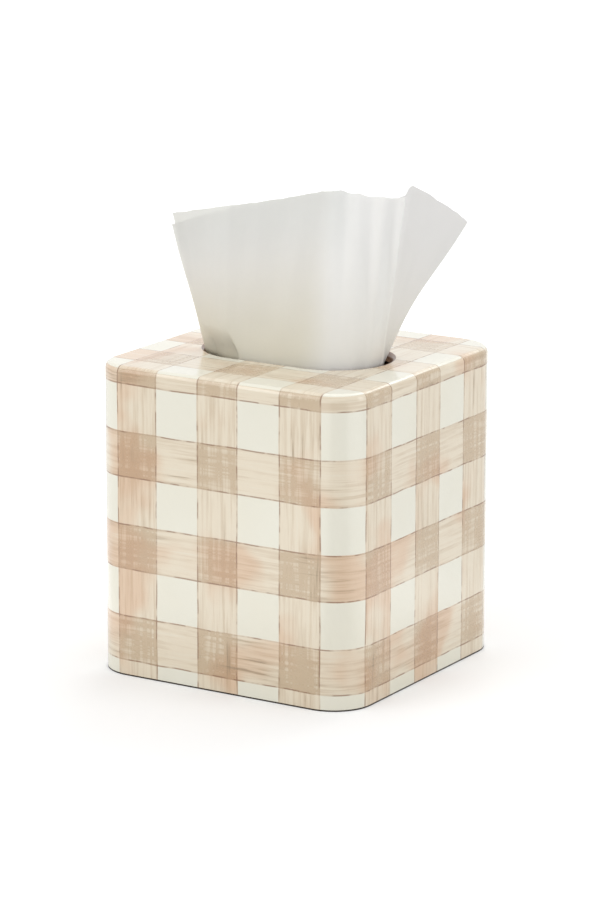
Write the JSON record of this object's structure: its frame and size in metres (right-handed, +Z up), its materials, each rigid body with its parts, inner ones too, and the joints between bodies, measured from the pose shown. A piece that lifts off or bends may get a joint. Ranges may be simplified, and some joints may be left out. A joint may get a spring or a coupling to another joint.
{
  "type": "tissue box cover",
  "caption": "Cube tissue box cover in enamelled steel with rounded corners and a round-ended opening, over an upright carton of interfolded tissues with a tissue pulled up.",
  "frame": {"origin": "centre of the cover's footprint, on the surface that it stands on", "axes": "+Z up, out of the opening; +X along the opening's length; -Y is the front face"},
  "size_m": [0.133, 0.133, 0.2162],
  "materials": {
    "enamel": "gloss",
    "dark_rim": "satin",
    "board": "matte",
    "film": "gloss",
    "tissue": "matte"
  },
  "bodies": {
    "carton": {"tissue_carton": "board", "slit_film": "film", "tissue_fold_01": "tissue", "tissue_fold_02": "tissue", "tissue_fold_03": "tissue", "tissue_fold_04": "tissue", "tissue_fold_05": "tissue", "tissue_fold_06": "tissue", "tissue_fold_07": "tissue", "tissue_fold_08": "tissue", "tissue_fold_09": "tissue", "tissue_fold_10": "tissue", "tissue_fold_11": "tissue", "tissue_fold_12": "tissue", "tissue_fold_13": "tissue", "tissue_fold_14": "tissue"},
    "cover": {"cover_shell": "enamel", "base_rim": "dark_rim"},
    "tissue": {"popup_tissue": "tissue"}
  },
  "joints": [
    {"name": "cover_lift", "type": "slide", "parent": "carton", "child": "cover", "axis": [0, 0, 1], "range_m": [0, 0.22], "deforming": ["popup_tissue"]},
    {"name": "tissue_pull", "type": "slide", "parent": "carton", "child": "tissue", "axis": [0, 0, 1], "range_m": [0, 0.105]}
  ]
}
